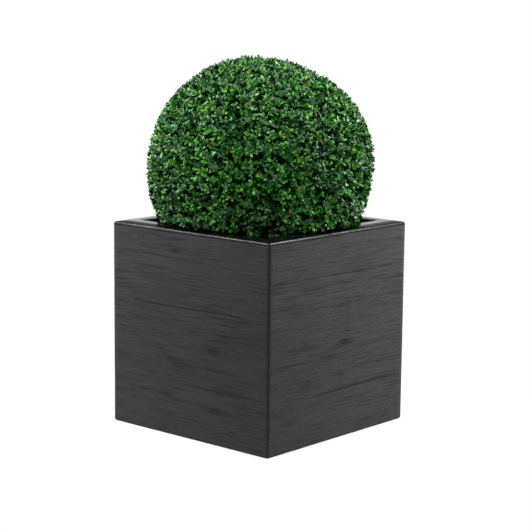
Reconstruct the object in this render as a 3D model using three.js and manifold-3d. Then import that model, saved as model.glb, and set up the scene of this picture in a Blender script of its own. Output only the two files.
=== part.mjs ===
// A clipped box ball in a square wood-grain planter, in millimetres, +Z up.
// The origin is under the middle of the planter, on its flat underside.
//
// Four pieces: the planter, the compost that fills it, the short stem that stands on the compost, and
// the ball of foliage that grows on from the stem's tip. The ball is wider than the planter's mouth, so
// its lower leaves lie over the rim.
import * as THREE from 'three';
import { mergeVertices } from 'three/addons/utils/BufferGeometryUtils.js';
import Module from 'manifold-3d';

const wasm = await Module();
wasm.setup();

// ---- driving dimensions --------------------------------------------------------------------------

const SEAT_GAP = 0.3; // between pieces that rest on or grow from each other

const planter = {
  side: 500,
  height: 494,
  wall: 14,
  floor: 20,
  lipWidth: 55, // the folded rim, outer edge to inner edge
  lipDepth: 26,
  cornerRadius: 2.5, // upright corners
  edgeRadius: 5, // outer edge of the rim and of the foot
  lipEdgeRadius: 4, // inner edge of the rim
  arcSteps: 3,
};

const compost = {
  level: 430, // flat middle, above the floor the planter stands on
  edgeDrop: 8, // the compost slopes down this far to the walls
  flatRadius: 120,
};

const stem = {
  footRadius: 31, // over the root flare
  radius: 19,
  tipRadius: 16,
  length: 104,
  flareHeight: 34,
  lean: 7, // sideways shift of the tip
  leanHeading: 200,
  flareLobes: 5,
  lobeDepth: 0.16,
  sides: 20,
  rings: [0, 0.06, 0.14, 0.24, 0.34, 0.6, 1], // shares of the length
};

const ball = {
  centre: new THREE.Vector3(0, 0, planter.height + 123),
  clipRadius: 269, // where the shears ran
  reach: 278, // no leaf tip stands further out
  coreRadius: 242, // dense twiggy inside that the shoots stand out of
  coreDetail: 3,
  underside: 464, // the foliage stops here, inside the planter's mouth
  socketRadius: 44, // room round the stem
  socketSides: 14,
  stalkRadius: 13, // the foliage's own stem, which grows on from the stem's tip
  stalkTopRadius: 16,
  stalkLength: 10, // seen below the core
  stalkSunk: 20, // in the core
  stalkSides: 9,
};

// Slow unevenness left by the shears: where the surface swells or sinks, in degrees and millimetres.
const swells = [
  { heading: 42, elevation: 29, height: 5, spread: 18 },
  { heading: 41, elevation: 57, height: -4, spread: 16 },
  { heading: 130, elevation: 86, height: -3, spread: 18 },
  { heading: 210, elevation: 51, height: 5, spread: 16 },
  { heading: 318, elevation: 18, height: 3, spread: 24 },
  { heading: 150, elevation: 15, height: 4, spread: 22 },
  { heading: 95, elevation: -18, height: -3, spread: 20 },
  { heading: 38, elevation: -18, height: -10, spread: 14 },
  { heading: 41, elevation: 0, height: -2, spread: 10 },
  { heading: 48, elevation: 38, height: 3, spread: 14 },
  { heading: 60, elevation: 63, height: -3, spread: 12 },
  { heading: 192, elevation: 71, height: 5, spread: 14 },
  { heading: 217, elevation: 28, height: 3, spread: 14 },
  { heading: 224, elevation: -14, height: 3, spread: 16 },
];

const shoots = {
  count: 124,
  seed: 11,
  lowestElevation: -33,
  rootDepth: 14, // sunk into the core
  rootRadius: 7,
  tipRadius: 4.5,
  length: 34, // root to growing tip
  sides: 3,
  wander: 0.32, // how far a shoot turns from straight out
};

// Box leaves stand in opposite pairs, each pair turned a quarter turn from the one below. `along` is the
// place on the shoot and `spread` the angle from its axis.
const leafPairs = [
  { along: 0.6, spread: 76, length: 50, width: 33 },
  { along: 0.9, spread: 58, length: 36, width: 27 },
];
const leaf = {
  thickness: 3.4,
  widest: 0.52, // share of the length
  keel: 2.4, // the midrib lies below the two edges
  spreadJitter: 16, // degrees, from one side to the other
};

const RIM_CLEARANCE = 1.5; // foliage to planter
const GOLDEN_ANGLE = Math.PI * (3 - Math.sqrt(5));
const UP = new THREE.Vector3(0, 0, 1);

// ---- small helpers -------------------------------------------------------------------------------

// Repeatable random numbers from 0 to 1 (mulberry32).
function seededRandom(seed) {
  let state = seed >>> 0;
  return () => {
    state = (state + 0x6d2b79f5) >>> 0;
    let mixed = Math.imul(state ^ (state >>> 15), state | 1);
    mixed ^= mixed + Math.imul(mixed ^ (mixed >>> 7), mixed | 61);
    return ((mixed ^ (mixed >>> 14)) >>> 0) / 4294967296;
  };
}

function toSolid(geometry) {
  const bare = geometry.index ? geometry.toNonIndexed() : geometry.clone();
  bare.deleteAttribute('normal');
  bare.deleteAttribute('uv');
  const merged = mergeVertices(bare, 1e-4);
  return new wasm.Manifold(
    new wasm.Mesh({
      numProp: 3,
      vertProperties: new Float32Array(merged.attributes.position.array),
      triVerts: new Uint32Array(merged.index.array),
    }),
  );
}

function toGeometry(solid) {
  const mesh = solid.getMesh();
  return new THREE.BufferGeometry()
    .setAttribute('position', new THREE.BufferAttribute(mesh.vertProperties, 3))
    .setIndex(new THREE.BufferAttribute(mesh.triVerts, 1));
}

function directionOf(headingDeg, elevationDeg) {
  const heading = THREE.MathUtils.degToRad(headingDeg);
  const elevation = THREE.MathUtils.degToRad(elevationDeg);
  return new THREE.Vector3(
    Math.cos(elevation) * Math.cos(heading),
    Math.cos(elevation) * Math.sin(heading),
    Math.sin(elevation),
  );
}

// A point on a quarter-round edge: the arc about (x, z) from one angle to another, in degrees.
function arc(x, z, radius, fromDeg, toDeg) {
  return Array.from({ length: planter.arcSteps + 1 }, (_, i) => {
    const angle = THREE.MathUtils.degToRad(fromDeg + ((toDeg - fromDeg) * i) / planter.arcSteps);
    return [x + radius * Math.cos(angle), z + radius * Math.sin(angle)];
  });
}

// Runs an upright profile of [distance from the middle, height] pairs round a square.
function squareLathe(profile) {
  const points = profile.map(([half, z]) => new THREE.Vector2(half * Math.SQRT2, z));
  return new THREE.LatheGeometry(points, 4, Math.PI / 4).rotateX(Math.PI / 2);
}

function roundedSquare(side, radius) {
  const half = side / 2;
  const inner = half - radius;
  return new THREE.Shape()
    .moveTo(-inner, -half)
    .lineTo(inner, -half)
    .absarc(inner, -inner, radius, -Math.PI / 2, 0)
    .lineTo(half, inner)
    .absarc(inner, inner, radius, 0, Math.PI / 2)
    .lineTo(-inner, half)
    .absarc(-inner, inner, radius, Math.PI / 2, Math.PI)
    .lineTo(-half, -inner)
    .absarc(-inner, -inner, radius, Math.PI, 1.5 * Math.PI);
}

// ---- planter and compost -------------------------------------------------------------------------

const mouthHalf = planter.side / 2 - planter.lipWidth;
const cavityHalf = planter.side / 2 - planter.wall;

function makePlanter() {
  const half = planter.side / 2;
  const top = planter.height;
  const outer = planter.edgeRadius;
  const inner = planter.lipEdgeRadius;
  const profile = [
    [0, 0],
    ...arc(half - outer, outer, outer, -90, 0), // foot
    ...arc(half - outer, top - outer, outer, 0, 90), // outer edge of the rim
    ...arc(mouthHalf + inner, top - inner, inner, 90, 180), // inner edge of the rim
    [mouthHalf, top - planter.lipDepth],
    [cavityHalf, top - planter.lipDepth],
    [cavityHalf, planter.floor],
    [0, planter.floor],
  ];
  const uprightCorners = new THREE.ExtrudeGeometry(roundedSquare(planter.side, planter.cornerRadius), {
    depth: top + 2,
    bevelEnabled: false,
    curveSegments: planter.arcSteps,
  }).translate(0, 0, -1);
  return toGeometry(toSolid(squareLathe(profile)).intersect(toSolid(uprightCorners)));
}

function makeCompost() {
  const half = cavityHalf - SEAT_GAP;
  const bottom = planter.floor + SEAT_GAP;
  return squareLathe([
    [0, bottom],
    [half, bottom],
    [half, compost.level - compost.edgeDrop],
    [compost.flatRadius, compost.level],
    [0, compost.level],
  ]);
}

// ---- stem ----------------------------------------------------------------------------------------

const stemFoot = compost.level + SEAT_GAP;

// Radius of the stem at a height above its foot: a flared base on a slow taper.
function stemRadius(height) {
  const taper = THREE.MathUtils.lerp(stem.radius, stem.tipRadius, height / stem.length);
  const flare = Math.max(0, 1 - height / stem.flareHeight) ** 2;
  return taper + (stem.footRadius - stem.radius) * flare;
}

function makeStem() {
  const heights = stem.rings.map((share) => share * stem.length);
  const profile = [
    new THREE.Vector2(0, 0),
    ...heights.map((height) => new THREE.Vector2(stemRadius(height), height)),
    new THREE.Vector2(0, stem.length),
  ];
  const geometry = new THREE.LatheGeometry(profile, stem.sides).rotateX(Math.PI / 2);
  const leanSide = directionOf(stem.leanHeading, 0);
  const position = geometry.attributes.position;
  for (let i = 0; i < position.count; i++) {
    const point = new THREE.Vector3().fromBufferAttribute(position, i);
    const flare = Math.max(0, 1 - point.z / stem.flareHeight);
    const lobe = Math.cos(stem.flareLobes * Math.atan2(point.y, point.x));
    const swell = 1 + stem.lobeDepth * flare * lobe;
    point.x *= swell;
    point.y *= swell;
    point.addScaledVector(leanSide, stem.lean * Math.max(0, point.z / stem.length) ** 1.5);
    position.setXYZ(i, point.x, point.y, point.z);
  }
  return geometry.translate(0, 0, stemFoot);
}

// ---- ball of foliage -----------------------------------------------------------------------------

// How far from the centre the shears ran in this direction.
function clippedRadius(direction) {
  return swells.reduce((radius, swell) => {
    const away = direction.angleTo(directionOf(swell.heading, swell.elevation));
    return radius + swell.height * Math.exp(-((away / THREE.MathUtils.degToRad(swell.spread)) ** 2));
  }, ball.clipRadius);
}

// True where a point keeps clear of the planter, the underside and the furthest reach.
function isInOwnSpace(point) {
  const overLip = Math.max(Math.abs(point.x), Math.abs(point.y)) > mouthHalf - RIM_CLEARANCE;
  return (
    point.z > ball.underside + RIM_CLEARANCE &&
    !(overLip && point.z < planter.height + RIM_CLEARANCE) &&
    point.distanceTo(ball.centre) < ball.reach
  );
}

// A leaf or shoot keeps to its space when points along all its corner-to-corner lines do.
function keepsToSpace(geometry) {
  const position = geometry.attributes.position;
  const corners = Array.from({ length: position.count }, (_, i) =>
    new THREE.Vector3().fromBufferAttribute(position, i),
  );
  return corners.every((from) =>
    corners.every((to) => [0, 0.25, 0.5, 0.75].every((share) => isInOwnSpace(from.clone().lerp(to, share)))),
  );
}

// Turns a shape modelled along +X, flat in XY, so that it grows along `axis` with its upper side to `upper`.
function placeAlong(geometry, root, axis, upper) {
  const side = new THREE.Vector3().crossVectors(upper, axis).normalize();
  const top = new THREE.Vector3().crossVectors(axis, side);
  const matrix = new THREE.Matrix4().makeBasis(axis, side, top).setPosition(root);
  return geometry.applyMatrix4(matrix);
}

// One leaf of eight faces: pointed at both ends, folded down a little along its midrib.
function makeLeaf(length, width) {
  const octahedron = new THREE.OctahedronGeometry(1).deleteAttribute('normal').deleteAttribute('uv');
  const geometry = mergeVertices(octahedron);
  const position = geometry.attributes.position;
  for (let i = 0; i < position.count; i++) {
    const x = position.getX(i);
    const onMidrib = Math.abs(position.getZ(i)) > 0.5;
    position.setXYZ(
      i,
      Math.abs(x) > 0.5 ? (x > 0 ? length : 0) : length * leaf.widest,
      (position.getY(i) * width) / 2,
      (position.getZ(i) * leaf.thickness) / 2 - (onMidrib ? leaf.keel : 0),
    );
  }
  return geometry;
}

// A direction square to `axis`.
function squareTo(axis) {
  const helper = Math.abs(axis.z) > 0.9 ? new THREE.Vector3(1, 0, 0) : UP;
  return new THREE.Vector3().crossVectors(helper, axis).normalize();
}

function makeShootWood(root, axis) {
  const wood = new THREE.CylinderGeometry(shoots.tipRadius, shoots.rootRadius, shoots.length, shoots.sides)
    .translate(0, shoots.length / 2, 0)
    .rotateZ(-Math.PI / 2);
  return placeAlong(wood, root, axis, squareTo(axis));
}

// The leaves of one shoot, in opposite pairs that turn a quarter turn from pair to pair.
function makeShootLeaves(root, axis, firstTurn, random) {
  const across = squareTo(axis).applyAxisAngle(axis, firstTurn);
  const made = [];
  leafPairs.forEach(({ along, spread, length, width }, step) => {
    const foot = root.clone().addScaledVector(axis, shoots.length * along);
    [0, Math.PI].forEach((opposite) => {
      const tilt = THREE.MathUtils.degToRad(spread + (random() - 0.5) * leaf.spreadJitter);
      const outward = across.clone().applyAxisAngle(axis, opposite + (step * Math.PI) / 2);
      const growth = axis.clone().multiplyScalar(Math.cos(tilt)).addScaledVector(outward, Math.sin(tilt));
      const upper = axis.clone().multiplyScalar(Math.sin(tilt)).addScaledVector(outward, -Math.cos(tilt));
      made.push(placeAlong(makeLeaf(length, width), foot, growth, upper));
    });
  });
  return made;
}

// Shoots spaced evenly round the ball by the golden angle, from its top down to below the rim.
function makeShoots() {
  const random = seededRandom(shoots.seed);
  const lowest = Math.sin(THREE.MathUtils.degToRad(shoots.lowestElevation));
  const solids = [];
  for (let i = 0; i < shoots.count; i++) {
    const height = 1 - ((i + 0.5) / shoots.count) * (1 - lowest);
    const heading = i * GOLDEN_ANGLE;
    const ringRadius = Math.sqrt(1 - height * height);
    const outward = new THREE.Vector3(ringRadius * Math.cos(heading), ringRadius * Math.sin(heading), height);
    const axis = outward
      .clone()
      .add(new THREE.Vector3(random() - 0.5, random() - 0.5, random() - 0.5).multiplyScalar(shoots.wander))
      .normalize();
    const shrink = clippedRadius(outward) - ball.clipRadius;
    const rootRadius = ball.coreRadius + shrink - shoots.rootDepth;
    const root = ball.centre.clone().addScaledVector(outward, rootRadius);
    const leaves = makeShootLeaves(root, axis, random() * Math.PI, random);
    const wood = makeShootWood(root, axis);
    if (keepsToSpace(wood)) solids.push(...[wood, ...leaves.filter(keepsToSpace)].map(toSolid));
  }
  return solids;
}

function makeBlock(width, bottom, top) {
  return toSolid(new THREE.BoxGeometry(width, width, top - bottom).translate(0, 0, (top + bottom) / 2));
}

function makePost(footRadius, topRadius, foot, top, sides) {
  const height = top - foot.z;
  const post = new THREE.CylinderGeometry(topRadius, footRadius, height, sides)
    .rotateX(Math.PI / 2)
    .translate(foot.x, foot.y, foot.z + height / 2);
  return toSolid(post);
}

// The dense inside of the ball. It is squared off where it sinks into the planter's mouth, cut flat below
// and hollowed round the stem, and the stalk that grows on from the stem's tip is fused in it.
function makeCore() {
  const geometry = new THREE.IcosahedronGeometry(1, ball.coreDetail);
  const position = geometry.attributes.position;
  for (let i = 0; i < position.count; i++) {
    const outward = new THREE.Vector3().fromBufferAttribute(position, i).normalize();
    const radius = ball.coreRadius + clippedRadius(outward) - ball.clipRadius;
    position.setXYZ(i, ...outward.multiplyScalar(radius).add(ball.centre).toArray());
  }
  const mouthWidth = 2 * (mouthHalf - RIM_CLEARANCE);
  const rimTop = planter.height + RIM_CLEARANCE;
  const inMouth = makeBlock(mouthWidth, ball.underside, planter.height + 2 * RIM_CLEARANCE);
  const aboveRim = makeBlock(4 * ball.reach, rimTop, rimTop + 4 * ball.reach);
  const tip = directionOf(stem.leanHeading, 0).multiplyScalar(stem.lean).setZ(stemFoot + stem.length);
  const socketTop = tip.z + ball.stalkLength;
  const socketFoot = tip.clone().setZ(ball.underside - ball.stalkLength);
  const socket = makePost(ball.socketRadius, ball.socketRadius, socketFoot, socketTop, ball.socketSides);
  const stalkFoot = tip.clone().setZ(tip.z + SEAT_GAP);
  const stalkTop = socketTop + ball.stalkSunk;
  const stalk = makePost(ball.stalkRadius, ball.stalkTopRadius, stalkFoot, stalkTop, ball.stalkSides);
  return toSolid(geometry).intersect(inMouth.add(aboveRim)).subtract(socket).add(stalk);
}

// Core, shoots and leaves fused into one piece; a scrap that touches nothing is dropped.
function makeBall() {
  const fused = wasm.Manifold.union([makeCore(), ...makeShoots()]);
  const bodies = fused.decompose().sort((a, b) => b.volume() - a.volume());
  return toGeometry(bodies[0]);
}

// ---- the assembly --------------------------------------------------------------------------------

const finishes = {
  planter: new THREE.MeshStandardMaterial({ color: 0x46464a, roughness: 0.45, metalness: 0.0 }),
  compost: new THREE.MeshStandardMaterial({ color: 0x2b211a, roughness: 0.95, metalness: 0.0 }),
  bark: new THREE.MeshStandardMaterial({ color: 0x8a7a60, roughness: 0.85, metalness: 0.0 }),
  leaves: new THREE.MeshStandardMaterial({ color: 0x2f5a2c, roughness: 0.4, metalness: 0.0 }),
};

function named(name, geometry, material) {
  const mesh = new THREE.Mesh(geometry, material);
  mesh.name = name;
  return mesh;
}

const boxBall = new THREE.Group();
boxBall.add(
  named('planter', makePlanter(), finishes.planter),
  named('compost', makeCompost(), finishes.compost),
  named('stem', makeStem(), finishes.bark),
  named('foliage_ball', makeBall(), finishes.leaves),
);

export default boxBall;
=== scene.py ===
"""A clipped box ball in a square wood-grain planter.

The planter, compost and stem are shaped in edit mode. The ball is grown: limbs from the stem's tip
to the shoots, twigs from the shoots to thousands of sprigs, and opposite pairs of leaves on every sprig.
"""

import math

import bmesh
import bpy
import numpy as np
from mathutils import Matrix, Vector, noise


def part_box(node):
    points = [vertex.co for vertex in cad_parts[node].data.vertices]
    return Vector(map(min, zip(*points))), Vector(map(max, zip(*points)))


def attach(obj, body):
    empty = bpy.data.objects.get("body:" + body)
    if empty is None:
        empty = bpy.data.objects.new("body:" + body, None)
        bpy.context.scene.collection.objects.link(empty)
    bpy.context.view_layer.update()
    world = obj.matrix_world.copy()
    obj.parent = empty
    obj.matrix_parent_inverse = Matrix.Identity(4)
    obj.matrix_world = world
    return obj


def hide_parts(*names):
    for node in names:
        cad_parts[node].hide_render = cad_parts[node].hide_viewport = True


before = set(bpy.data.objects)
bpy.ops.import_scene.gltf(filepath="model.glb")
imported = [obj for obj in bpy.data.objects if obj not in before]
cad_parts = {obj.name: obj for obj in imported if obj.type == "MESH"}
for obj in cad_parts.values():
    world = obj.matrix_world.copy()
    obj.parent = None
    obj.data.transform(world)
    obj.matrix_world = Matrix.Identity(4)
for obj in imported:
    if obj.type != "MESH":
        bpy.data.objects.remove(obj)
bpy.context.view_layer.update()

MM = 0.001
UP = np.array([0.0, 0.0, 1.0])
GOLDEN_ANGLE = math.pi * (3 - math.sqrt(5))

# ---- sizes, from the frame and the part's own driving dimensions ---------------------------------

planter_low, planter_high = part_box("planter")
compost_low, compost_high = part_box("compost")
stem_low, stem_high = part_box("stem")

SIDE = planter_high.x - planter_low.x
HEIGHT = planter_high.z
FLOOR = compost_low.z
WALL = compost_low.x - planter_low.x
LIP_WIDTH = 55 * MM
LIP_DEPTH = 26 * MM
RIM_RADIUS = 5 * MM
FOOT_RADIUS = 5 * MM
CORNER_RADIUS = 2.5 * MM
LIP_EDGE_RADIUS = 4 * MM
RIM_SLOPE_WIDTH = 22 * MM  # the rim falls away to its outer edge
RIM_SLOPE_DROP = 2.8 * MM
MOUTH_HALF = SIDE / 2 - LIP_WIDTH

STEM_RADIUS = 19 * MM
STEM_TIP_RADIUS = 16 * MM
STEM_FOOT_RADIUS = 31 * MM
STEM_FLARE_HEIGHT = 34 * MM
STEM_LEAN = 7 * MM
STEM_LEAN_HEADING = math.radians(200)
STEM_TIP = np.array(
    [STEM_LEAN * math.cos(STEM_LEAN_HEADING), STEM_LEAN * math.sin(STEM_LEAN_HEADING), stem_high.z]
)

BALL_RISE = 123 * MM  # of the ball's centre over the rim
BALL_CENTRE = np.array([0.0, 0.0, HEIGHT + BALL_RISE])
CLIP_RADIUS = 269 * MM  # where the shears ran
REACH = 278 * MM  # no leaf tip stands further out
CORE_RADIUS = 242 * MM
UNDERSIDE = 464 * MM
RIM_CLEARANCE = 1 * MM

# Where the sheared surface swells or sinks: heading and elevation in degrees, height, spread in degrees.
SWELLS = [
    (42, 29, 5 * MM, 18),
    (41, 57, -4 * MM, 16),
    (130, 86, -3 * MM, 18),
    (210, 51, 5 * MM, 16),
    (318, 18, 3 * MM, 24),
    (150, 15, 4 * MM, 22),
    (95, -18, -3 * MM, 20),
    (38, -18, -10 * MM, 14),
    (41, 0, -2 * MM, 10),
    (48, 38, 3 * MM, 14),
    (60, 63, -3 * MM, 12),
    (192, 71, 5 * MM, 14),
    (217, 28, 3 * MM, 14),
    (224, -14, 3 * MM, 16),
]


# ---- helpers -------------------------------------------------------------------------------------


def only(piece):
    """Makes this the one selected and active object."""
    bpy.ops.object.select_all(action="DESELECT")
    piece.select_set(True)
    bpy.context.view_layer.objects.active = piece


def choose(kind, test):
    """Selects, in edit mode, the edges or faces that pass the test."""
    bpy.ops.mesh.select_mode(type=kind)
    bpy.ops.mesh.select_all(action="DESELECT")
    shape = bmesh.from_edit_mesh(bpy.context.edit_object.data)
    for element in shape.edges if kind == "EDGE" else shape.faces:
        if test(element):
            element.select_set(True)
    shape.select_flush_mode()
    bmesh.update_edit_mesh(bpy.context.edit_object.data)


def ends(edge):
    """The places of an edge's two ends."""
    return edge.verts[0].co, edge.verts[1].co


def finish_piece(piece, replaced, material):
    """Gives a piece its finish and its body, and hides the node that it stands for."""
    piece.data.materials.clear()
    piece.data.materials.append(material)
    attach(piece, "root")
    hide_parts(replaced)


def mesh_piece(name, points, face_sets):
    """A smooth-shaded object from an array of points and arrays of faces, one array per corner count."""
    mesh = bpy.data.meshes.new(name)
    corners = np.concatenate([faces.ravel() for faces in face_sets])
    sizes = np.concatenate([np.full(len(faces), faces.shape[1]) for faces in face_sets])
    mesh.vertices.add(len(points))
    mesh.vertices.foreach_set("co", points.astype(np.float32).ravel())
    mesh.loops.add(len(corners))
    mesh.loops.foreach_set("vertex_index", corners.astype(np.int32))
    mesh.polygons.add(len(sizes))
    mesh.polygons.foreach_set("loop_start", (np.cumsum(sizes) - sizes).astype(np.int32))
    mesh.update(calc_edges=True)
    mesh.shade_smooth()
    piece = bpy.data.objects.new(name, mesh)
    bpy.context.scene.collection.objects.link(piece)
    return piece


def unit(vectors):
    return vectors / np.linalg.norm(vectors, axis=-1, keepdims=True)


def direction_of(heading_degrees, elevation_degrees):
    heading, elevation = math.radians(heading_degrees), math.radians(elevation_degrees)
    level = math.cos(elevation)
    return np.array([level * math.cos(heading), level * math.sin(heading), math.sin(elevation)])


# ---- materials -----------------------------------------------------------------------------------


class Finish:
    """A node material that is put together a node at a time."""

    def __init__(self, name, roughness, specular=0.5):
        self.material = bpy.data.materials.new(name)
        self.material.use_nodes = True
        self.nodes = self.material.node_tree.nodes
        self.shader = self.nodes["Principled BSDF"]
        self.shader.inputs["Roughness"].default_value = roughness
        self.shader.inputs["Specular IOR Level"].default_value = specular

    def wire(self, source, target):
        self.material.node_tree.links.new(source, target)

    def node(self, kind, **settings):
        made = self.nodes.new(kind)
        for name, value in settings.items():
            setattr(made, name, value)
        return made

    def place(self, scale):
        """Object coordinates, stretched."""
        coordinates = self.node("ShaderNodeTexCoord")
        mapping = self.node("ShaderNodeMapping")
        mapping.inputs["Scale"].default_value = scale
        self.wire(coordinates.outputs["Object"], mapping.inputs["Vector"])
        return mapping.outputs["Vector"]

    def noise(self, vector, detail, roughness):
        made = self.node("ShaderNodeTexNoise")
        made.inputs["Scale"].default_value = 1
        made.inputs["Detail"].default_value = detail
        made.inputs["Roughness"].default_value = roughness
        self.wire(vector, made.inputs["Vector"])
        return made.outputs["Fac"]

    def spread(self, value, low, high, to_low, to_high):
        """The value, with the range from low to high stretched to another range and cut off there."""
        made = self.node("ShaderNodeMapRange")
        made.inputs["From Min"].default_value = low
        made.inputs["From Max"].default_value = high
        made.inputs["To Min"].default_value = to_low
        made.inputs["To Max"].default_value = to_high
        self.wire(value, made.inputs["Value"])
        return made.outputs["Result"]

    def combine(self, operation, first, second):
        """Two numbers or outputs put together by a math operation, such as ADD or MULTIPLY."""
        made = self.node("ShaderNodeMath", operation=operation)
        for value, socket in ((first, made.inputs[0]), (second, made.inputs[1])):
            if isinstance(value, (int, float)):
                socket.default_value = value
            else:
                self.wire(value, socket)
        return made.outputs["Value"]

    def blend(self, factor, dark, light):
        """A colour between two, each a colour or an output."""
        made = self.node("ShaderNodeMix", data_type="RGBA")
        for colour, socket in ((dark, made.inputs[6]), (light, made.inputs[7])):
            if isinstance(colour, tuple):
                socket.default_value = (*colour, 1)
            else:
                self.wire(colour, socket)
        self.wire(factor, made.inputs["Factor"])
        return made.outputs[2]

    def colour(self, source):
        self.wire(source, self.shader.inputs["Base Color"])

    def bump(self, height, distance, strength):
        made = self.node("ShaderNodeBump")
        made.inputs["Distance"].default_value = distance
        made.inputs["Strength"].default_value = strength
        self.wire(height, made.inputs["Height"])
        self.wire(made.outputs["Normal"], self.shader.inputs["Normal"])


GRAIN_DARK = (0.004, 0.004, 0.0045)
GRAIN_LIGHT = (0.0175, 0.0177, 0.0198)
# The rim takes the walls' darkest tone: its dark gloss finish, and partly painted shade for the ball's
# shadow over the rim.
RIM_COLOUR = (0.004, 0.004, 0.0043)
RIM_ROUGHNESS = 0.19
CARVED_SHARE = 0.55  # of the tone; the finer hairs give the rest
SHADE_WEIGHT = 0.3
HAIR_DEPTH = 1.2 * MM


def charcoal_grain():
    """Dark composite with a moulded wood grain that runs level round the planter, and a smoother rim."""
    finish = Finish("charcoal_grain", roughness=0.45, specular=0.2)
    carved = finish.node("ShaderNodeAttribute", attribute_name="grain").outputs["Fac"]
    shade = finish.node("ShaderNodeAttribute", attribute_name="shade").outputs["Fac"]
    rim = finish.node("ShaderNodeAttribute", attribute_name="rim").outputs["Fac"]
    hairs = finish.noise(finish.place((16, 16, 460)), detail=3, roughness=0.7)
    hairs = finish.spread(hairs, 0.2, 0.8, 0, 1)
    patches = finish.noise(finish.place((7, 7, 15)), detail=4, roughness=0.6)
    streaks = finish.noise(finish.place((9, 9, 60)), detail=3, roughness=0.6)
    tone = finish.combine(
        "ADD",
        finish.combine("MULTIPLY", carved, CARVED_SHARE),
        finish.combine("MULTIPLY", hairs, 1 - CARVED_SHARE),
    )
    tone = finish.combine("MULTIPLY", tone, finish.spread(patches, 0.3, 0.7, 0.85, 1.15))
    tone = finish.combine("MULTIPLY", tone, finish.spread(streaks, 0.3, 0.7, 0.88, 1.12))
    # The shade attribute darkens the tone: its knots and cracks are stains, the rest is painted shade on the
    # grooves, upright edges, foot and rim shoulder.
    tone = finish.combine("SUBTRACT", tone, finish.combine("MULTIPLY", shade, SHADE_WEIGHT))
    walls = finish.blend(finish.spread(tone, 0.1, 0.8, 0, 1), GRAIN_DARK, GRAIN_LIGHT)
    finish.colour(finish.blend(rim, walls, RIM_COLOUR))
    wall_roughness = finish.spread(tone, 0.0, 0.55, 0.82, 0.47)
    roughness = finish.combine(
        "ADD",
        finish.combine("MULTIPLY", wall_roughness, finish.combine("SUBTRACT", 1.0, rim)),
        finish.combine("MULTIPLY", rim, RIM_ROUGHNESS),
    )
    finish.wire(roughness, finish.shader.inputs["Roughness"])
    soft_grain = finish.combine("MULTIPLY", hairs, finish.spread(rim, 0, 1, 1, 0.4))
    finish.bump(soft_grain, HAIR_DEPTH, 0.8)
    return finish.material


def damp_compost():
    finish = Finish("damp_compost", roughness=0.9, specular=0.25)
    crumbs = finish.noise(finish.place((160, 160, 160)), detail=6, roughness=0.7)
    finish.colour(finish.blend(crumbs, (0.006, 0.004, 0.003), (0.045, 0.028, 0.017)))
    finish.bump(crumbs, 2 * MM, 0.8)
    return finish.material


def old_bark():
    finish = Finish("old_bark", roughness=0.85, specular=0.25)
    fissures = finish.noise(finish.place((260, 260, 60)), detail=5, roughness=0.65)
    finish.colour(finish.blend(fissures, (0.07, 0.05, 0.03), (0.33, 0.26, 0.17)))
    finish.bump(fissures, 1 * MM, 0.7)
    return finish.material


def plain(name, base_colour, roughness, specular=0.5):
    """A finish of one colour."""
    finish = Finish(name, roughness, specular)
    finish.shader.inputs["Base Color"].default_value = (*base_colour, 1)
    return finish.material


# ---- planter -------------------------------------------------------------------------------------

# Marks in the moulded grain: face, share across, share down, half-length, darkness. Face 0 looks along
# -Y and face 1 along +X. The far faces, 2 and 3, carry the grooves and knots of 0 and 1 the other way up.
LONG_GROOVES = [
    (0, 0.50, 0.370, 0.40, 1.0),
    (0, 0.76, 0.742, 0.26, 0.8),
    (0, 0.72, 0.470, 0.14, 0.6),
    (0, 0.30, 0.235, 0.24, 0.4),
    (0, 0.55, 0.640, 0.30, 0.45),
    (1, 0.50, 0.205, 0.50, 0.8),
    (1, 0.40, 0.252, 0.26, 0.7),
    (1, 0.62, 0.765, 0.40, 1.0),
    (1, 0.50, 0.360, 0.11, 0.8),
    (1, 0.30, 0.590, 0.34, 0.4),
]
KNOTS = [
    (0, 0.66, 0.550, 0.050, 0.9),
    (0, 0.43, 0.110, 0.045, 0.6),
    (0, 0.37, 0.805, 0.050, 0.7),
    (0, 0.67, 0.835, 0.040, 0.7),
    (1, 0.54, 0.530, 0.045, 1.0),
    (1, 0.26, 0.710, 0.055, 0.8),
    (1, 0.19, 0.375, 0.040, 0.6),
    (1, 0.52, 0.690, 0.035, 0.6),
    (1, 0.16, 0.860, 0.030, 0.5),
]
CRACKS = [  # face, share across, shares down of the top and the foot, darkness
    (0, 0.415, 0.80, 0.87, 0.35),
    (1, 0.567, 0.31, 0.52, 0.55),
    (2, 0.585, 0.20, 0.87, 0.35),
    (3, 0.433, 0.69, 0.86, 0.55),
]
GRAIN_PITCH = 7 * MM  # from line to line
GRAIN_DEPTH = 0.55 * MM
GROOVE_DEPTH = 0.9 * MM
GROOVE_HALF_WIDTH = 1.7 * MM
GROOVE_SWAY = 0.010  # share of the height
GROOVE_FADE = 0.12  # share of the side over which a groove's ends fade
CRACK_HALF_WIDTH = 4 * MM
CRACK_FADE = 0.03  # share of the height
KNOT_FLATNESS = 0.42  # height of a knot against its length
KNOT_BEND = 0.6  # how far the grain bends round a knot
SMOOTH_GRAIN = 0.6  # the tone of what isn't carved
# Painted shade in the long grooves, on top of their carved depth.
GROOVE_SHADE = 0.5
# Painted shade on the band just under the rim's rounded edge.
SHOULDER_SHADE = 0.6


def marks_on(face, marks):
    """The marks of one face; a far face takes those of the face it backs, upside down."""
    turned = face >= 2
    return [
        (1 - across if turned else across, 1 - down if turned else down, size, dark)
        for owner, across, down, size, dark in marks
        if owner == face % 2
    ]


def face_and_place(point):
    """The face a wall point belongs to, and its shares across, from the left, and down."""
    if abs(point.y) >= abs(point.x):
        face, along = (0, point.x) if point.y < 0 else (2, -point.x)
    else:
        face, along = (1, point.y) if point.x > 0 else (3, -point.y)
    return face, along / SIDE + 0.5, 1 - point.z / HEIGHT


def fade_in(distance, width):
    """Rises from 0 to 1 over the width."""
    return min(1.0, max(0.0, distance / width))


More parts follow.
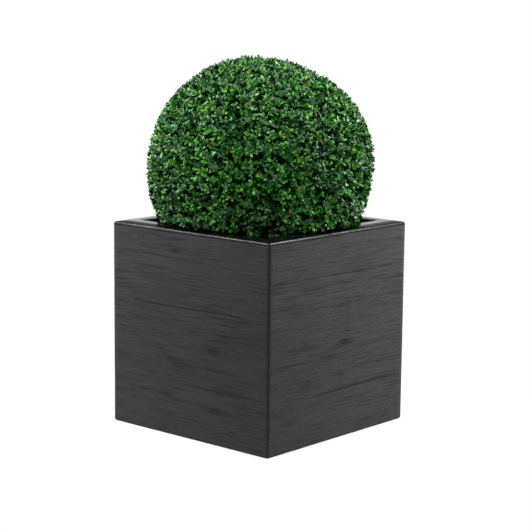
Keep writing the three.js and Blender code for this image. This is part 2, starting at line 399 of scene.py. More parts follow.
def knots_at(face, across, down):
    """How dark the knots are at a place, and how far they bend the grain there."""
    darkness, bend = 0.0, 0.0
    for knot_across, knot_down, size, dark in marks_on(face, KNOTS):
        above = knot_down - down
        near = math.exp(-((across - knot_across) ** 2 + (above / KNOT_FLATNESS) ** 2) / size**2)
        darkness += dark * near
        bend += KNOT_BEND * near * above * HEIGHT
    return darkness, bend


def cracks_at(face, across, down):
    """How dark the cracks are at a place."""
    darkness = 0.0
    for owner, crack_across, top, foot, dark in CRACKS:
        if owner == face:
            aside = (across - crack_across) * SIDE / CRACK_HALF_WIDTH
            fade = fade_in(down - top, CRACK_FADE) * fade_in(foot - down, CRACK_FADE)
            darkness += dark * math.exp(-(aside**2)) * fade
    return darkness


def groove_at(face, across, down):
    """How deep the deepest long groove is at a place, from 0 to 1."""
    groove = 0.0
    for middle, groove_down, half_length, dark in marks_on(face, LONG_GROOVES):
        sway = GROOVE_SWAY * noise.noise((across * 2.5, groove_down * 31, face * 7.3))
        off = (down - groove_down - sway) * HEIGHT / GROOVE_HALF_WIDTH
        fade = fade_in(half_length - abs(across - middle), GROOVE_FADE)
        groove = max(groove, dark * fade * math.exp(-(off**2)))
    return groove


def grain_at(point, face, level):
    """How deep the grain is at a wall point, from 0 to 1: wavy lines, with ripples and hairs between."""
    flow = level + 4 * MM * noise.noise((point.x * 3, point.y * 3, level * 8 + face))
    wave = 0.8 * noise.noise((point.x * 9, point.y * 9, flow * 40))
    line = math.sin(2 * math.pi * (flow / GRAIN_PITCH + wave))
    strength = max(0.0, noise.noise((point.x * 11, point.y * 11, level * 30)))
    rough = 0.85 + 0.9 * noise.noise((point.x * 7 + 3, point.y * 7, level * 12))
    ripple = noise.noise((point.x * 10, point.y * 10, flow * 300))
    hair = noise.noise((point.x * 20, point.y * 20, flow * 520))
    return fade_in(0.45 + rough * (0.5 * ripple + 0.45 * hair) + 0.6 * strength * line, 1)


def wood_grain(point):
    """How deep the grain, a long groove and a stain are at a wall point, each from 0 to 1."""
    face, across, down = face_and_place(point)
    knot, bend = knots_at(face, across, down)
    stain = min(1.0, knot + cracks_at(face, across, down))
    return grain_at(point, face, point.z - bend), groove_at(face, across, down), stain


def shape_planter():
    """The hollow box: inset and extruded down for the lip, out for the cavity and down to its floor."""
    bpy.ops.object.select_all(action="DESELECT")
    bpy.ops.mesh.primitive_cube_add(size=1, location=(0, 0, HEIGHT / 2), scale=(SIDE, SIDE, HEIGHT))
    planter = bpy.context.object
    planter.name = planter.data.name = "planter_box"
    bpy.ops.object.transform_apply(location=True, rotation=True, scale=True)
    bpy.ops.object.mode_set(mode="EDIT")
    choose("FACE", lambda face: face.normal.z > 0.9)
    bpy.ops.mesh.inset(thickness=RIM_SLOPE_WIDTH)
    bpy.ops.mesh.inset(thickness=LIP_WIDTH - RIM_SLOPE_WIDTH)
    bpy.ops.mesh.extrude_region_move(TRANSFORM_OT_translate={"value": (0, 0, -LIP_DEPTH)})
    bpy.ops.mesh.extrude_region_move(TRANSFORM_OT_translate={"value": (0, 0, 0)})
    widen = (SIDE / 2 - WALL) / MOUTH_HALF
    bpy.ops.transform.resize(value=(widen, widen, 1), center_override=(0, 0, HEIGHT - LIP_DEPTH))
    cavity_depth = HEIGHT - LIP_DEPTH - FLOOR
    bpy.ops.mesh.extrude_region_move(TRANSFORM_OT_translate={"value": (0, 0, -cavity_depth)})
    choose("EDGE", lambda edge: all(on_outside(point) and point.z > HEIGHT / 2 for point in ends(edge)))
    bpy.ops.transform.translate(value=(0, 0, -RIM_SLOPE_DROP))
    return planter


def on_outside(point):
    """True on the four outer walls."""
    return max(abs(point.x), abs(point.y)) > SIDE / 2 - MM


def on_mitre(edge):
    """True for the outer upright edges, with the curves they run on into at the rim and the foot."""
    first, second = ends(edge)
    at_corner = all(
        abs(abs(p.x) - abs(p.y)) < 0.05 * MM
        and abs(p.x) > SIDE / 2 - max(RIM_RADIUS, FOOT_RADIUS) - 0.1 * MM
        for p in (first, second)
    )
    return at_corner and abs(first.z - second.z) > 0.01 * MM


def soften_edges():
    """Rounds the rim and the foot, the upright edges less, and the lip's inner edge."""
    for radius, lowest, highest in ((RIM_RADIUS, HEIGHT / 2, HEIGHT), (FOOT_RADIUS, 0, HEIGHT / 2)):
        choose(
            "EDGE",
            lambda edge: is_long_level(edge)
            and all(on_outside(point) and lowest - MM < point.z < highest + MM for point in ends(edge)),
        )
        bpy.ops.mesh.bevel(offset=radius, segments=6, affect="EDGES")
    choose("EDGE", on_mitre)
    bpy.ops.mesh.bevel(offset=CORNER_RADIUS, segments=2, affect="EDGES")
    rim = HEIGHT - 0.1 * MM
    mouth = MOUTH_HALF + 0.1 * MM
    choose(
        "EDGE",
        lambda edge: all(p.z > rim and max(abs(p.x), abs(p.y)) < mouth for p in ends(edge)),
    )
    bpy.ops.mesh.bevel(offset=LIP_EDGE_RADIUS, segments=3, affect="EDGES")


def is_long_level(edge):
    first, second = ends(edge)
    return abs(first.z - second.z) < 0.1 * MM and (first - second).length > SIDE / 2


def is_outer_upright(edge):
    first, second = ends(edge)
    level_shift = (first.xy - second.xy).length
    return level_shift < 0.1 * MM and abs(first.z - second.z) > 10 * MM and on_outside(first)


def refine_walls():
    """Columns all round, then fine rows up the outside, so that the grain can be carved."""
    choose("EDGE", is_long_level)
    bpy.ops.mesh.subdivide(number_cuts=47)
    for cuts in (15, 23):
        choose("EDGE", is_outer_upright)
        bpy.ops.mesh.subdivide(number_cuts=cuts)


def carve(planter):
    """Sinks the grain into the four walls and keeps it as attributes that the finish reads."""
    mesh = planter.data
    count = len(mesh.vertices)
    places, normals = np.empty(count * 3), np.empty(count * 3)
    mesh.vertices.foreach_get("co", places)
    mesh.vertices.foreach_get("normal", normals)
    places, normals = places.reshape(-1, 3), normals.reshape(-1, 3)
    normals[:, 2] = 0
    grain, shade = np.full(count, SMOOTH_GRAIN), np.zeros(count)
    below_rim = HEIGHT - RIM_SLOPE_DROP - places[:, 2]
    aside = np.abs(places[:, :2])
    furthest = aside.max(axis=1)
    rim = (below_rim < 0.6 * RIM_RADIUS).astype(float)
    # Painted shade on the middle of each upright edge's rounding and on the foot's rounding.
    painted_shade_edge = (aside.min(axis=1) > SIDE / 2 - 0.5 * CORNER_RADIUS) & (rim < 0.5)
    painted_shade_foot = (places[:, 2] < 0.6 * FOOT_RADIUS) & (furthest > SIDE / 2 - FOOT_RADIUS)
    # Painted shade on the band just under the rim's rounded edge.
    just_below = (below_rim > 0.7 * RIM_RADIUS) & (below_rim < 1.4 * RIM_RADIUS)
    painted_shade_shoulder = just_below & (furthest > SIDE / 2 - MM)
    for index, place in enumerate(places):
        point = Vector(place)
        if not on_outside(point):
            continue
        cut, groove, stain = wood_grain(point)
        depth = GRAIN_DEPTH * cut + GROOVE_DEPTH * groove
        grain[index] = (1 - cut) * (1 - groove)
        # Knots and cracks are stains; the long grooves add painted shade.
        shade[index] = min(1.0, stain + GROOVE_SHADE * groove)
        places[index] -= normals[index] * depth * fade_in(min(point.z, HEIGHT - point.z), 2 * RIM_RADIUS)
    # Painted shade: the upright edges' and the foot's roundings are made fully dark.
    shade[painted_shade_edge | painted_shade_foot] = 1
    # Painted shade, lighter, on the band just under the rim's rounded edge.
    shade[painted_shade_shoulder] = SHOULDER_SHADE
    # On all three painted-shade bands the grain is also cleared to its darkest, which adds to the painted
    # shade.
    grain[painted_shade_edge | painted_shade_foot | painted_shade_shoulder] = 0
    mesh.vertices.foreach_set("co", places.ravel())
    for name, values in (("grain", grain), ("shade", shade), ("rim", rim)):
        mesh.attributes.new(name, "FLOAT", "POINT").data.foreach_set("value", values)
    mesh.update()


def make_planter():
    planter = shape_planter()
    soften_edges()
    refine_walls()
    bpy.ops.object.mode_set(mode="OBJECT")
    carve(planter)
    only(planter)
    bpy.ops.object.shade_smooth_by_angle(angle=math.radians(40))
    finish_piece(planter, "planter", charcoal_grain())


# ---- compost and stem ----------------------------------------------------------------------------


LUMP_HEIGHT = 3 * MM
CRUMB_HEIGHT = 2.4 * MM
BARK_RIB = 0.9 * MM
BARK_CRACK = 0.5 * MM


def make_compost():
    """A block with a crumbly top that fills the planter."""
    middle = (compost_low + compost_high) / 2
    size = compost_high - compost_low
    bpy.ops.object.select_all(action="DESELECT")
    bpy.ops.mesh.primitive_cube_add(size=1, location=middle, scale=size)
    compost = bpy.context.object
    compost.name = compost.data.name = "compost_fill"
    bpy.ops.object.transform_apply(location=True, rotation=True, scale=True)
    bpy.ops.object.mode_set(mode="EDIT")
    choose("FACE", lambda face: face.normal.z > 0.9)
    bpy.ops.mesh.inset(thickness=2 * MM)
    bpy.ops.mesh.subdivide(number_cuts=95)
    bpy.ops.object.mode_set(mode="OBJECT")
    edge = compost_high.x - 3 * MM
    for vertex in compost.data.vertices:
        spot = vertex.co
        if spot.z > compost_high.z - MM and max(abs(spot.x), abs(spot.y)) < edge:
            lumps = noise.noise((spot.x * 30, spot.y * 30, 0.5)) - 1
            crumbs = noise.noise((spot.x * 110, spot.y * 110, 3.5)) - 1
            spot.z += LUMP_HEIGHT * lumps + CRUMB_HEIGHT * crumbs
    only(compost)
    bpy.ops.object.shade_smooth_by_angle(angle=math.radians(60))
    finish_piece(compost, "compost", damp_compost())


def stem_radius(height):
    """The stem's radius, which tapers and widens to the foot."""
    taper = STEM_RADIUS + (STEM_TIP_RADIUS - STEM_RADIUS) * height / (stem_high.z - stem_low.z)
    flare = max(0.0, 1 - height / STEM_FLARE_HEIGHT) ** 2
    return taper + (STEM_FOOT_RADIUS - STEM_RADIUS) * flare


def make_stem():
    """The short stem: a post drawn out to a lobed flare at the foot, leaning a little, with ribbed bark."""
    length = stem_high.z - stem_low.z
    bpy.ops.object.select_all(action="DESELECT")
    bpy.ops.mesh.primitive_cylinder_add(
        vertices=48, radius=STEM_RADIUS, depth=length, location=(0, 0, stem_low.z + length / 2)
    )
    stem = bpy.context.object
    stem.name = stem.data.name = "stem_bark"
    bpy.ops.object.transform_apply(location=True, rotation=True, scale=True)
    bpy.ops.object.mode_set(mode="EDIT")
    choose("EDGE", lambda edge: abs(ends(edge)[0].z - ends(edge)[1].z) > length / 2)
    bpy.ops.mesh.subdivide(number_cuts=47)
    bpy.ops.object.mode_set(mode="OBJECT")
    for vertex in stem.data.vertices:
        spot = vertex.co
        height = spot.z - stem_low.z
        turn = math.atan2(spot.y, spot.x)
        flare = max(0.0, 1 - height / STEM_FLARE_HEIGHT)
        lobes = 1 + 0.16 * flare * math.cos(5 * turn)
        ribs = noise.noise((math.cos(turn) * 5, math.sin(turn) * 5, height * 18)) - 1
        cracks = noise.noise((math.cos(turn) * 14, math.sin(turn) * 14, height * 50)) - 1
        radius = stem_radius(height) * lobes + BARK_RIB * ribs + BARK_CRACK * cracks
        lean = STEM_LEAN * max(0.0, height / length) ** 1.5
        spot.x = radius * math.cos(turn) + lean * math.cos(STEM_LEAN_HEADING)
        spot.y = radius * math.sin(turn) + lean * math.sin(STEM_LEAN_HEADING)
    only(stem)
    bpy.ops.object.shade_smooth_by_angle(angle=math.radians(50))
    finish_piece(stem, "stem", old_bark())


# ---- growing the ball ----------------------------------------------------------------------------

SHOOT_COUNT = 124
SHOOT_SEED = 11
SHOOT_LOWEST = math.radians(-33)
SHOOT_WANDER = 0.32
SHOOT_ROOT_DEPTH = 14 * MM
LEAF_DRAWS = 4  # random numbers that the part's own rule spends on a shoot's leaves

# Limbs: their radii at the start and the end.
STALK_HEIGHT = 22 * MM
STALK_RADII = (14 * MM, 12 * MM)
BOUGH_COUNT = 9
BOUGH_REACH = 100 * MM
BOUGH_SHARE = 0.72  # how far towards that reach the boughs fork
BOUGH_RISE = 0.8
BOUGH_RADII = (8.5 * MM, 6 * MM)
FORK_COUNT = 38
FORK_REACH = 165 * MM
FORK_RADII = (6 * MM, 3.8 * MM)
BRANCH_RADII = (3.8 * MM, 2.2 * MM)
BRANCHLET_RADII = (2.2 * MM, 1.3 * MM)
TWIG_RADII = (1.2 * MM, 0.8 * MM)
SPRIG_RADII = (0.8 * MM, 0.5 * MM)

BRANCHLET_COUNT = 900
BRANCHLET_WANDER = 0.02
BRANCHLET_DEPTH = 27 * MM  # of its tip under the sheared surface
TUFT_SPREAD = 2 * MM  # how unevenly the tufts stand
SPRIG_COUNT = 6400
SPRIG_LOWEST = math.radians(-38)
SPRIG_LENGTH = (17 * MM, 25 * MM)
SPRIG_RISE = 0.45  # how far a sprig turns up to the light
SPRIG_WANDER = 0.017
SPRIG_TURN = 0.4
SPRIG_DEPTH = 4 * MM
SPRIG_SPREAD = 1.6 * MM
SUNK_SHARE = 0.28  # of the sprigs stand deeper
SUNK_DEPTH = (3 * MM, 12 * MM)
THIN_PATCH = (314, -27, 11)  # heading, elevation and spread of a bare place over the rim, in degrees
THIN_SINK = 16 * MM
THIN_LOSS = 0.8  # share of the sprigs missing at its middle
PATCHINESS = 0.5
PATCH_PITCH = 11
PATCHY_KINDS = 2  # the first kinds of sprig come in patches
STRAY_SHARE = 0.6  # of the leaves have the tone of another sprig
LOST_SHARE = 0.05  # of the leaves are missing
INNER_LEAF_COUNT = 9000
INNER_LEAF_DEPTH = (30 * MM, 62 * MM)
INNER_LEAF_LENGTH = (15 * MM, 20 * MM)
INNER_LEAF_WIDTH_SHARE = 0.65
INNER_LEAF_BEND = 0.1
PIECE_LEAVES = 16000  # most leaves in one piece
FINE_SEED = 23

# Each pair of a sprig, from its tip down: share of the sprig's length, angle from its axis, leaf length.
LEAF_PAIRS = [
    (0.97, 34, 9.5 * MM),
    (0.78, 52, 12.5 * MM),
    (0.52, 64, 14 * MM),
    (0.22, 74, 14 * MM),
]
LEAF_WIDTH_SHARE = 0.6
LEAF_SIZES = (0.8, 1.15)
LEAF_WIDTHS = (0.9, 1.12)
LEAF_TURN = 0.22  # spreads of the leaves' turn round the sprig and roll, in radians, and lean, in degrees
LEAF_ROLL = 0.42
LEAF_LEAN = 17
LEAF_FOLD = (-0.35, 0.12)  # middle and spread; the edges lie lower than the midrib
LEAF_ARCH = (0.1, 0.35)

LEAF_TONES = {
    # The shade tone is near black: painted shade, worn by the lower pairs of most sprigs and by the inner
    # leaves to darken the gaps.
    "shade": (0.0006, 0.007, 0.0006),
    "deep": (0.001, 0.046, 0.001),
    "blue": (0.016, 0.095, 0.030),
    "mid": (0.020, 0.165, 0.009),
    "fresh": (0.080, 0.380, 0.018),
    "lime": (0.215, 0.520, 0.050),
    "olive": (0.090, 0.090, 0.024),
}
LEAF_ROUGHNESS = 0.42
LEAF_SPECULAR = 0.7
DULL_SPECULARS = {"shade": 0.03, "deep": 0.2}
TWIG_COLOUR = (0.07, 0.085, 0.03)
TWIG_ROUGHNESS = 0.6
# Kinds of sprig: how common, and the tone of each pair from the tip down. The lower pairs in the shade tone
# are painted shade.
SPRIG_KINDS = {
    "young": (0.09, ("lime", "fresh", "mid", "deep")),
    "bright": (0.17, ("fresh", "fresh", "deep", "shade")),
    "green": (0.31, ("mid", "mid", "shade", "shade")),
    "cool": (0.25, ("blue", "blue", "shade", "shade")),
    "dark": (0.16, ("mid", "deep", "shade", "shade")),
    "tired": (0.02, ("olive", "mid", "deep", "shade")),
}


def seeded_random(seed):
    """Repeatable random numbers from 0 to 1, the same as the part's own (mulberry32)."""
    mask = 0xFFFFFFFF
    state = seed
    while True:
        state = (state + 0x6D2B79F5) & mask
        mixed = ((state ^ (state >> 15)) * (state | 1)) & mask
        mixed = (mixed ^ (mixed + (((mixed ^ (mixed >> 7)) * (mixed | 61)) & mask))) & mask
        yield ((mixed ^ (mixed >> 14)) & mask) / 4294967296


def hill(directions, heading, elevation, spread):
    """Falls smoothly from 1 at a heading and elevation to 0 all round it; angles in degrees."""
    away = np.arccos(np.clip(directions @ direction_of(heading, elevation), -1, 1))
    return np.exp(-((away / math.radians(spread)) ** 2))


def sheared_radius(directions):
    """How far from the centre the shears ran in each direction."""
    radius = np.full(len(directions), CLIP_RADIUS)
    for heading, elevation, height, spread in SWELLS:
        radius += height * hill(directions, heading, elevation, spread)
    return radius


def even_directions(count, lowest):
    """Directions spaced evenly by the golden angle, from straight up down to the lowest elevation."""
    height = 1 - (np.arange(count) + 0.5) / count * (1 - math.sin(lowest))
    heading = np.arange(count) * GOLDEN_ANGLE
    ring = np.sqrt(1 - height**2)
    return np.stack([ring * np.cos(heading), ring * np.sin(heading), height], axis=1)


def scattered_directions(draw, count, wander):
    """Even directions over the clipped surface, each moved a little."""
    return unit(even_directions(count, SPRIG_LOWEST) + draw.normal(0, wander, (count, 3)))


def grow_shoots():
    """Roots and axes of the part's own shoots, by its own rule."""
    outward = even_directions(SHOOT_COUNT, SHOOT_LOWEST)
    draws = seeded_random(SHOOT_SEED)
    axes = []
    for direction in outward:
        turn = np.array([next(draws) - 0.5 for _ in range(3)]) * SHOOT_WANDER
        axes.append(direction + turn)
        for _ in range(1 + LEAF_DRAWS):
            next(draws)
    root_radius = CORE_RADIUS + sheared_radius(outward) - CLIP_RADIUS - SHOOT_ROOT_DEPTH
    return outward, BALL_CENTRE + outward * root_radius[:, None], unit(np.array(axes))


def nearest(directions, others):
    """The number of the nearest of the other directions, for each direction."""
    return np.argmax(directions @ others.T, axis=1)


def curves(starts, leaving, finishes, steps):
    """A smooth path from each start, leaving in its direction, to each finish."""
    share = np.linspace(0, 1, steps + 1)[None, :, None]
    reach = np.linalg.norm(finishes - starts, axis=1)[:, None]
    knees = starts + unit(leaving) * reach * 0.45
    return (
        (1 - share) ** 2 * starts[:, None]
        + 2 * share * (1 - share) * knees[:, None]
        + share**2 * finishes[:, None]
    )


def tubes(paths, start_radius, end_radius, sides):
    """Points and faces of tapering limbs along paths, closed at both ends."""
    count, rings = paths.shape[:2]
    tangent = unit(np.gradient(paths, axis=1))
    helper = np.where(np.abs(tangent[:, :1, 2:]) > 0.8, [[[1.0, 0, 0]]], [[[0, 0, 1.0]]])
    side = unit(np.cross(tangent, helper))
    lift = np.cross(tangent, side)
    turn = np.arange(sides) * 2 * math.pi / sides
    radius = (start_radius + (end_radius - start_radius) * np.linspace(0, 1, rings))[None, :, None, None]
    ring = np.cos(turn)[:, None] * side[:, :, None] + np.sin(turn)[:, None] * lift[:, :, None]
    points = paths[:, :, None] + ring * radius
    number = np.arange(count * rings * sides).reshape(count, rings, sides)
    after = np.roll(number, -1, axis=2)
    walls = np.stack([number[:, :-1], number[:, 1:], after[:, 1:], after[:, :-1]], axis=-1)
    caps = np.concatenate([number[:, 0], number[:, -1, ::-1]])
    return points.reshape(-1, 3), [walls.reshape(-1, 4), caps]


def join_tubes(name, parts):
    """One piece from several sets of points and faces."""
    offset = 0
    points, face_sets = [], []
    for part_points, part_faces in parts:
        points.append(part_points)
        face_sets += [faces + offset for faces in part_faces]
        offset += len(part_points)
    return mesh_piece(name, np.concatenate(points), face_sets)


def keeps_clear(points):
    """True for each row of points that stays off the rim, out of the planter's walls and in reach."""
    aside = np.max(np.abs(points[..., :2]), axis=-1)
    rim_hit = (aside > MOUTH_HALF - RIM_CLEARANCE) & (points[..., 2] < HEIGHT + RIM_CLEARANCE)
    too_far = np.linalg.norm(points - BALL_CENTRE, axis=-1) > REACH
    too_low = points[..., 2] < UNDERSIDE
    return ~np.any(rim_hit | too_far | too_low, axis=1)


def leaf_shape():
    """Outline points of a box leaf as shares of length and width, and its twelve faces."""
    outline = [(0.08, 0.25), (0.34, 0.49), (0.69, 0.48), (0.93, 0.28)]
    midrib = [(0, 0), (0.34, 0), (0.7, 0), (1, 0)]
    points = midrib + outline + [(along, -across) for along, across in outline]
    left = [(0, 1, 4), (1, 5, 4), (1, 2, 5), (2, 6, 5), (2, 7, 6), (2, 3, 7)]
    mirror = {4: 8, 5: 9, 6: 10, 7: 11}
    right = [tuple(mirror.get(corner, corner) for corner in face[::-1]) for face in left]
    return np.array(points, float), np.array(left + right)


def leaf_points(feet, growth, upper, length, width, fold, arch):
    """The points of every leaf. Its fold lifts the edges over the midrib, and its arch lowers the tip."""
    shape, _ = leaf_shape()
    side = unit(np.cross(upper, growth))
    top = np.cross(growth, side)
    along = shape[None, :, 0] * length[:, None]
    across = shape[None, :, 1] * width[:, None]
    lift = np.abs(across) * fold[:, None] - shape[None, :, 0] ** 2 * (arch * length)[:, None]
    return (
        feet[:, None]
        + growth[:, None] * along[..., None]
        + side[:, None] * across[..., None]
        + top[:, None] * lift[..., None]
    )


def grow_limbs(shoot_outward, shoot_roots):
    """Boughs that fork twice on the way from the stem's tip to the roots of the shoots."""
    bough_outward = even_directions(BOUGH_COUNT, SHOOT_LOWEST)
    fork_outward = even_directions(FORK_COUNT, SHOOT_LOWEST)
    crown_base = STEM_TIP + UP * STALK_HEIGHT
    boughs = crown_base + (BALL_CENTRE + bough_outward * BOUGH_REACH - crown_base) * BOUGH_SHARE
    forks = BALL_CENTRE + fork_outward * FORK_REACH
    bough_of = nearest(fork_outward, bough_outward)
    fork_of = nearest(shoot_outward, fork_outward)
    base = np.repeat(crown_base[None], len(boughs), axis=0)
    rising = unit(boughs - base) + UP * BOUGH_RISE
    stalk_path = curves(STEM_TIP[None], UP[None], crown_base[None], 3)
    bough_paths = curves(base, rising, boughs, 6)
    fork_paths = curves(boughs[bough_of], (boughs - base)[bough_of], forks, 6)
    branch_paths = curves(forks[fork_of], (forks - boughs[bough_of])[fork_of], shoot_roots, 5)
    return [
        tubes(stalk_path, *STALK_RADII, 8),
        tubes(bough_paths, *BOUGH_RADII, 7),
        tubes(fork_paths, *FORK_RADII, 6),
        tubes(branch_paths, *BRANCH_RADII, 5),
    ]


def grow_sprigs(draw, shoot_outward, shoot_roots, shoot_axes):
    """Twigs from the shoots to every sprig: their tubes, and each sprig's root, axis and length."""
    branch_outward = scattered_directions(draw, BRANCHLET_COUNT, BRANCHLET_WANDER)
    tuft = draw.normal(0, TUFT_SPREAD, BRANCHLET_COUNT)
    shoot_of = nearest(branch_outward, shoot_outward)
    branch_tip_radius = sheared_radius(branch_outward) - BRANCHLET_DEPTH + tuft
    branch_tips = BALL_CENTRE + branch_outward * branch_tip_radius[:, None]
    branchlets = curves(shoot_roots[shoot_of], shoot_axes[shoot_of], branch_tips, 3)

    outward = scattered_directions(draw, SPRIG_COUNT, SPRIG_WANDER)
    branch_of = nearest(outward, branch_outward)
    length = draw.uniform(*SPRIG_LENGTH, SPRIG_COUNT)
    is_sunk = draw.random(SPRIG_COUNT) < SUNK_SHARE
    sunk = np.where(is_sunk, draw.uniform(*SUNK_DEPTH, SPRIG_COUNT), 0)
    thin = hill(outward, *THIN_PATCH)
    tip_depth = SPRIG_DEPTH + sunk + THIN_SINK * thin - tuft[branch_of]
    tip_radius = sheared_radius(outward) - tip_depth + draw.normal(0, SPRIG_SPREAD, SPRIG_COUNT)
    axes = unit(outward + UP * SPRIG_RISE + draw.normal(0, SPRIG_TURN, (SPRIG_COUNT, 3)))
    tips = BALL_CENTRE + outward * tip_radius[:, None]
    roots = tips - axes * length[:, None]
    stalks = curves(branch_tips[branch_of], branch_outward[branch_of], roots, 2)
    stems = np.stack([roots, tips], axis=1)
    clear = keeps_clear(np.concatenate([stalks, stems], axis=1))
    clear &= draw.random(SPRIG_COUNT) > THIN_LOSS * thin
    twigs = [
        tubes(branchlets[keeps_clear(branchlets)], *BRANCHLET_RADII, 4),
        tubes(stalks[clear], *TWIG_RADII, 3),
        tubes(stems[clear], *SPRIG_RADII, 3),
    ]
    return twigs, roots[clear], axes[clear], length[clear], outward[clear]


def deal_kinds(draw, outward):
    """The kind of each sprig. Young growth comes in patches."""
    names = list(SPRIG_KINDS)
    shares = np.array([SPRIG_KINDS[name][0] for name in names])
    patch = np.array([noise.noise(Vector(direction) * PATCH_PITCH) for direction in outward])
    weights = np.repeat(shares[None], len(outward), axis=0)
    weights[:, :PATCHY_KINDS] *= np.exp(PATCHINESS * patch)[:, None]
    heights = np.cumsum(weights, axis=1)
    picks = draw.random(len(outward))[:, None] * heights[:, -1:]
    return np.sum(picks > heights, axis=1), names


def grow_leaves(draw, roots, axes, length, kinds, kind_names):
    """Opposite pairs of leaves up every sprig. Gives the leaves' points, gathered by tone."""
    helper = np.where(np.abs(axes[:, 2:]) > 0.9, [[1.0, 0, 0]], [[0, 0, 1.0]])
    across = unit(np.cross(axes, helper))
    lift = np.cross(axes, across)
    first_turn = draw.uniform(0, math.pi, len(roots))
    leaves_of = {tone: [] for tone in LEAF_TONES}
    tone_names = list(LEAF_TONES)
    tone_table = np.array([[tone_names.index(tone) for tone in SPRIG_KINDS[name][1]] for name in kind_names])
    count = len(roots)
    for step, (along, spread, leaf_length) in enumerate(LEAF_PAIRS):
        for opposite in (0, math.pi):
            turn = first_turn + step * math.pi / 2 + opposite + draw.normal(0, LEAF_TURN, count)
            tilt = np.radians(spread + draw.normal(0, LEAF_LEAN, count))
            outward = across * np.cos(turn)[:, None] + lift * np.sin(turn)[:, None]
            growth = axes * np.cos(tilt)[:, None] + outward * np.sin(tilt)[:, None]
            upper = axes * np.sin(tilt)[:, None] - outward * np.cos(tilt)[:, None]
            roll = draw.normal(0, LEAF_ROLL, count)
            side = np.cross(upper, growth)
            upper = upper * np.cos(roll)[:, None] + side * np.sin(roll)[:, None]
            size = leaf_length * draw.uniform(*LEAF_SIZES, count)
            width = size * LEAF_WIDTH_SHARE * draw.uniform(*LEAF_WIDTHS, count)
            fold = draw.normal(*LEAF_FOLD, count)
            arch = draw.uniform(*LEAF_ARCH, count)
            feet = roots + axes * (length * along)[:, None]
            points = leaf_points(feet, growth, upper, size, width, fold, arch)
            keep = keeps_clear(points) & (draw.random(count) > LOST_SHARE)
            strays = draw.random(count) < STRAY_SHARE
            tones = tone_table[np.where(strays, draw.permutation(kinds), kinds), step]
            for number, tone in enumerate(tone_names):
                leaves_of[tone].append(points[keep & (tones == number)])
    return {tone: np.concatenate(groups) for tone, groups in leaves_of.items()}


def grow_inner_leaves(draw):
    """Old leaves inside the shell of sprigs, turned every way; they take the near-black shade tone, painted
    shade that darkens the gaps.
    """
    count = INNER_LEAF_COUNT
    outward = scattered_directions(draw, count, BRANCHLET_WANDER)
    radius = sheared_radius(outward) - draw.uniform(*INNER_LEAF_DEPTH, count)
    growth = unit(outward * 0.4 + draw.normal(0, 1, (count, 3)))
    upper = unit(outward + draw.normal(0, 0.5, (count, 3)))
    size = draw.uniform(*INNER_LEAF_LENGTH, count)
    width = size * INNER_LEAF_WIDTH_SHARE
    bend = np.full(count, INNER_LEAF_BEND)
    points = leaf_points(BALL_CENTRE + outward * radius[:, None], growth, upper, size, width, bend, bend)
    kept = draw.random(count) > THIN_LOSS * hill(outward, *THIN_PATCH)
    return points[keeps_clear(points) & kept]


def join_leaves(name, points, material):
    """One piece of many leaves."""
    _, faces = leaf_shape()
    count, corners = points.shape[:2]
    all_faces = (faces[None] + (np.arange(count) * corners)[:, None, None]).reshape(-1, 3)
    piece = mesh_piece(name, points.reshape(-1, 3), [all_faces])
    finish_piece(piece, "foliage_ball", material)


def make_ball():
    """Boughs, twigs and leaves, joined by kind and tone."""
    draw = np.random.default_rng(FINE_SEED)
    shoot_outward, shoot_roots, shoot_axes = grow_shoots()
    boughs = join_tubes("boughs", grow_limbs(shoot_outward, shoot_roots))
    finish_piece(boughs, "foliage_ball", old_bark())
    twig_parts, roots, axes, length, outward = grow_sprigs(draw, shoot_outward, shoot_roots, shoot_axes)
    twigs = join_tubes("twigs", twig_parts)
    finish_piece(twigs, "foliage_ball", plain("green_twig", TWIG_COLOUR, TWIG_ROUGHNESS))
    kinds, kind_names = deal_kinds(draw, outward)
    leaves = grow_leaves(draw, roots, axes, length, kinds, kind_names)
    # The inner leaves take the shade tone: painted shade in the gaps.
    leaves["shade"] = np.concatenate([leaves["shade"], grow_inner_leaves(draw)])
    for tone, points in leaves.items():
        specular = DULL_SPECULARS.get(tone, LEAF_SPECULAR)
        material = plain(f"leaf_{tone}", LEAF_TONES[tone], LEAF_ROUGHNESS, specular)
        for number, start in enumerate(range(0, len(points), PIECE_LEAVES), 1):
            join_leaves(f"leaves_{tone}_{number}", points[start : start + PIECE_LEAVES], material)


# ---- studio --------------------------------------------------------------------------------------

CAMERA_AZIMUTH = math.radians(41.3555)
CAMERA_ELEVATION = math.radians(9.5055)
CAMERA_ROLL = math.radians(0.5695)
CAMERA_TARGET = Vector((0.270350, -0.288259, 0.450770))
CAMERA_DISTANCE = 3.613920
CAMERA_LENS = 112.398  # millimetres
CAMERA_SENSOR = 36

FILL_STRENGTH = 0.22
FLOOR_RADIUS = 0.75
FLOOR_FADE = (0.45, 0.98)  # shares of the radius between which the floor thins out
FLOOR_COLOUR = (0.86, 0.86, 0.86)
LIGHTS_AIM = Vector((0, 0, 0.5))
# Name, heading and elevation in degrees, distance, width and height in metres, and power in watts.
SOFTBOXES = [
    ("left_panel", 222, -12, 1.8, 0.6, 1.3, 8),
    ("left_softbox", 205, 8, 1.6, 0.9, 1.4, 13),
    ("left_high_softbox", 212, 44, 2.0, 1.0, 0.8, 37),
    ("right_panel", 60, -14, 1.5, 0.7, 1.3, 6),
    ("right_softbox", 58, 8, 1.6, 0.9, 1.4, 12),
    ("right_high_softbox", 51, 44, 2.0, 1.0, 0.8, 35),
    ("right_rear_softbox", 73, 46, 2.2, 1.0, 0.8, 7),
    ("back_softbox", 131.5, 7, 3.2, 1.8, 0.45, 3.2),
    ("top_softbox", 311, 58, 2.3, 1.8, 1.8, 26),
    ("front_softbox", 311, 22, 3.2, 1.4, 1.4, 20),
]


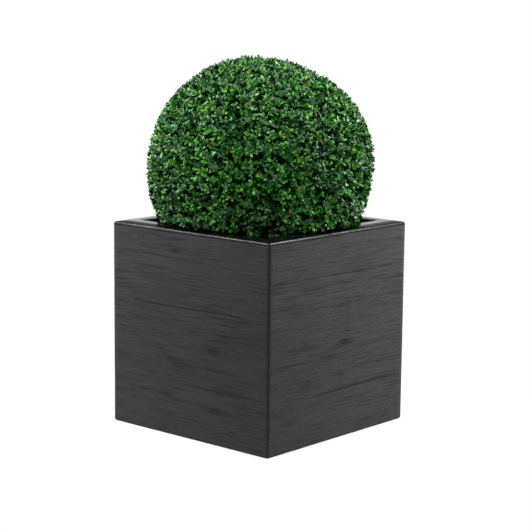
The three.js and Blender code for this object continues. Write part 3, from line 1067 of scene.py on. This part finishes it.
def place_camera():
    """The camera looks at its target from an azimuth, where 0 looks along +Y, and an elevation."""
    back = Vector(
        (
            math.sin(CAMERA_AZIMUTH) * math.cos(CAMERA_ELEVATION),
            -math.cos(CAMERA_AZIMUTH) * math.cos(CAMERA_ELEVATION),
            math.sin(CAMERA_ELEVATION),
        )
    )
    level = Vector((0, 0, 1)).cross(back).normalized()
    upright = back.cross(level)
    across = level * math.cos(CAMERA_ROLL) + upright * math.sin(CAMERA_ROLL)
    up = upright * math.cos(CAMERA_ROLL) - level * math.sin(CAMERA_ROLL)
    camera = bpy.data.objects.new("camera", bpy.data.cameras.new("camera"))
    bpy.context.scene.collection.objects.link(camera)
    camera.data.sensor_width = CAMERA_SENSOR
    camera.data.lens = CAMERA_LENS
    turned = Matrix((across, up, back)).transposed().to_4x4()
    camera.matrix_world = Matrix.Translation(CAMERA_TARGET + back * CAMERA_DISTANCE) @ turned
    bpy.context.scene.camera = camera


def add_softbox(name, heading, elevation, distance, width, height, power):
    """An area light that faces the middle of the plant."""
    aim = Vector(direction_of(heading, elevation))
    light = bpy.data.lights.new(name, "AREA")
    light.shape = "RECTANGLE"
    light.size = width
    light.size_y = height
    light.energy = power
    lamp = bpy.data.objects.new(name, light)
    bpy.context.scene.collection.objects.link(lamp)
    turned = aim.to_track_quat("Z", "Y").to_matrix().to_4x4()
    lamp.matrix_world = Matrix.Translation(LIGHTS_AIM + aim * distance) @ turned


def light_studio():
    """A white backdrop that casts only a dim fill, and softboxes on all sides and above."""
    world = bpy.data.worlds.new("studio")
    world.use_nodes = True
    nodes, links = world.node_tree.nodes, world.node_tree.links
    fill = nodes["Background"]
    fill.inputs["Color"].default_value = (1, 1, 1, 1)
    fill.inputs["Strength"].default_value = FILL_STRENGTH
    backdrop = nodes.new("ShaderNodeBackground")
    backdrop.inputs["Color"].default_value = (1, 1, 1, 1)
    seen = nodes.new("ShaderNodeLightPath")
    either = nodes.new("ShaderNodeMixShader")
    links.new(seen.outputs["Is Camera Ray"], either.inputs[0])
    links.new(fill.outputs[0], either.inputs[1])
    links.new(backdrop.outputs[0], either.inputs[2])
    links.new(either.outputs[0], nodes["World Output"].inputs["Surface"])
    bpy.context.scene.world = world
    bpy.context.scene.view_settings.view_transform = "Standard"
    for softbox in SOFTBOXES:
        add_softbox(*softbox)


def pale_floor():
    """Plain pale floor that thins out to nothing well away from the plant."""
    finish = Finish("pale_floor", roughness=0.8, specular=0.2)
    finish.shader.inputs["Base Color"].default_value = (*FLOOR_COLOUR, 1)
    coordinates = finish.node("ShaderNodeTexCoord")
    away = finish.node("ShaderNodeVectorMath", operation="LENGTH")
    finish.wire(coordinates.outputs["Object"], away.inputs[0])
    inner, outer = (share * FLOOR_RADIUS for share in FLOOR_FADE)
    fade = finish.spread(away.outputs["Value"], inner, outer, 1, 0)
    finish.wire(fade, finish.shader.inputs["Alpha"])
    return finish.material


def lay_floor():
    bpy.ops.object.select_all(action="DESELECT")
    bpy.ops.mesh.primitive_circle_add(vertices=96, radius=FLOOR_RADIUS, fill_type="NGON")
    floor = bpy.context.object
    floor.name = "floor"
    floor.data.materials.append(pale_floor())


place_camera()
light_studio()
lay_floor()
make_planter()
make_compost()
make_stem()
make_ball()
